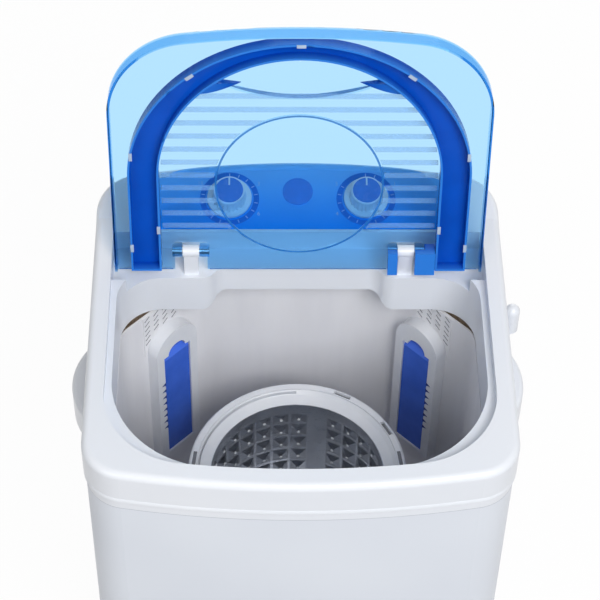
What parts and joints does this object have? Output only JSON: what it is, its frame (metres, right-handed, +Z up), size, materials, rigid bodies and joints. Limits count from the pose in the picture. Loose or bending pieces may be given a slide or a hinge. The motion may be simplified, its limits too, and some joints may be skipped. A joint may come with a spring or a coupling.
{
  "type": "semi-automatic washing machine",
  "caption": "Compact top-loading washing machine with a clear hinged lid, spin basket, lint filters, sloped console with turning dials, side grips and a drain spigot.",
  "frame": {"origin": "middle of the footprint on the floor, under the middle of the overall box", "axes": "+Z up, -Y to the front where the user stands, +X to the right"},
  "size_m": [0.444, 0.39, 0.7923],
  "materials": {
    "white_shell": "moulded gloss white",
    "base_grey": "moulded matte",
    "foot_rubber": "matte black",
    "fascia_blue": "printed gloss",
    "badge_blue": "bare disc",
    "tub_white": "moulded satin",
    "frame_white": "moulded satin",
    "board_blue": "moulded satin",
    "foam_brown": "open foam",
    "pin_steel": "bright",
    "cover_grey": "moulded matte",
    "black_plastic": "moulded matte",
    "drain_grey": "moulded matte",
    "plate_steel": "zinc grey",
    "motor_metal": "cast satin",
    "capacitor_white": "moulded",
    "timer_plastic": "moulded",
    "lid_clear_blue": "clear blue, polished",
    "arch_blue": "deep blue gloss",
    "knob_white": "moulded gloss",
    "pulsator_blue": "moulded satin",
    "pulley_alloy": "cast",
    "drum_steel": "pressed stainless"
  },
  "bodies": {
    "machine": {"cabinet": "white_shell", "base_tray": "base_grey", "base_feet": "foot_rubber", "top_deck": "white_shell", "control_panel": "fascia_blue", "panel_badge": "badge_blue", "wash_tub": "tub_white", "tub_gasket": "foam_brown", "left_filter_frame": "frame_white", "right_filter_frame": "frame_white", "left_overflow_grille": "tub_white", "right_overflow_grille": "tub_white", "hinge_posts": "white_shell", "hinge_pins": "pin_steel", "left_side_handle": "white_shell", "right_side_handle": "white_shell", "hose_peg": "white_shell", "back_cover": "cover_grey", "back_cover_screws": "pin_steel", "cord_gland": "black_plastic", "drain_pipe": "drain_grey", "drain_grommet": "foot_rubber", "drive_plate": "plate_steel", "drive_plate_screws": "pin_steel", "bearing_housing": "black_plastic", "shaft_seal": "foot_rubber", "motor_body": "motor_metal", "motor_bushes": "foot_rubber", "drive_belt": "foot_rubber", "run_capacitor": "capacitor_white", "capacitor_clip": "black_plastic", "wash_timer": "timer_plastic", "spin_timer": "timer_plastic", "lid_switch": "black_plastic"},
    "lid": {"lid_panel": "lid_clear_blue", "lid_arch": "arch_blue", "lid_cam": "arch_blue"},
    "wash_dial": {"wash_knob": "knob_white", "wash_timer_shaft": "pin_steel"},
    "spin_dial": {"spin_knob": "knob_white", "spin_timer_shaft": "pin_steel"},
    "agitator": {"pulsator": "pulsator_blue", "pulsator_screw": "pin_steel", "main_shaft": "pin_steel", "driven_pulley": "pulley_alloy"},
    "motor_rotor": {"motor_shaft": "pin_steel", "motor_pulley": "pulley_alloy"},
    "basket": {"basket_base": "tub_white", "basket_drum": "drum_steel", "basket_ring": "frame_white"},
    "left_filter": {"left_filter_board": "board_blue"},
    "right_filter": {"right_filter_board": "board_blue"}
  },
  "joints": [
    {"name": "lid_hinge", "type": "hinge", "parent": "machine", "child": "lid", "pos_m": [0, 0.0869, 0.541], "axis": [1, 0, 0], "range_deg": [0, 100.35]},
    {"name": "wash_dial_turn", "type": "hinge", "parent": "machine", "child": "wash_dial", "pos_m": [-0.068, 0.15215, 0.54589], "axis": [0, 0.2672, -0.9636], "range_deg": [0, 300]},
    {"name": "spin_dial_turn", "type": "hinge", "parent": "machine", "child": "spin_dial", "pos_m": [0.068, 0.15215, 0.54589], "axis": [0, 0.2672, -0.9636], "range_deg": [0, 300]},
    {"name": "agitator_spin", "type": "hinge", "parent": "machine", "child": "agitator", "pos_m": [0, -0.043, 0.2], "axis": [0, 0, 1], "continuous": true},
    {"name": "motor_spin", "type": "hinge", "parent": "machine", "child": "motor_rotor", "pos_m": [0, 0.095, 0.06], "axis": [0, 0, 1], "continuous": true},
    {"name": "basket_lift", "type": "slide", "parent": "agitator", "child": "basket", "axis": [0, 0, 1], "range_m": [0, 0.15]},
    {"name": "left_filter_tilt", "type": "hinge", "parent": "machine", "child": "left_filter", "pos_m": [-0.12403, 0.08158, 0.2363], "axis": [0.7071, 0.7071, 0], "range_deg": [0, 10]},
    {"name": "right_filter_tilt", "type": "hinge", "parent": "machine", "child": "right_filter", "pos_m": [0.12403, 0.08158, 0.2363], "axis": [0.7071, -0.7071, 0], "range_deg": [0, 10]}
  ],
  "couplings": [
    {"joint": "motor_spin", "follows": "agitator_spin", "ratio": 3.5532}
  ]
}
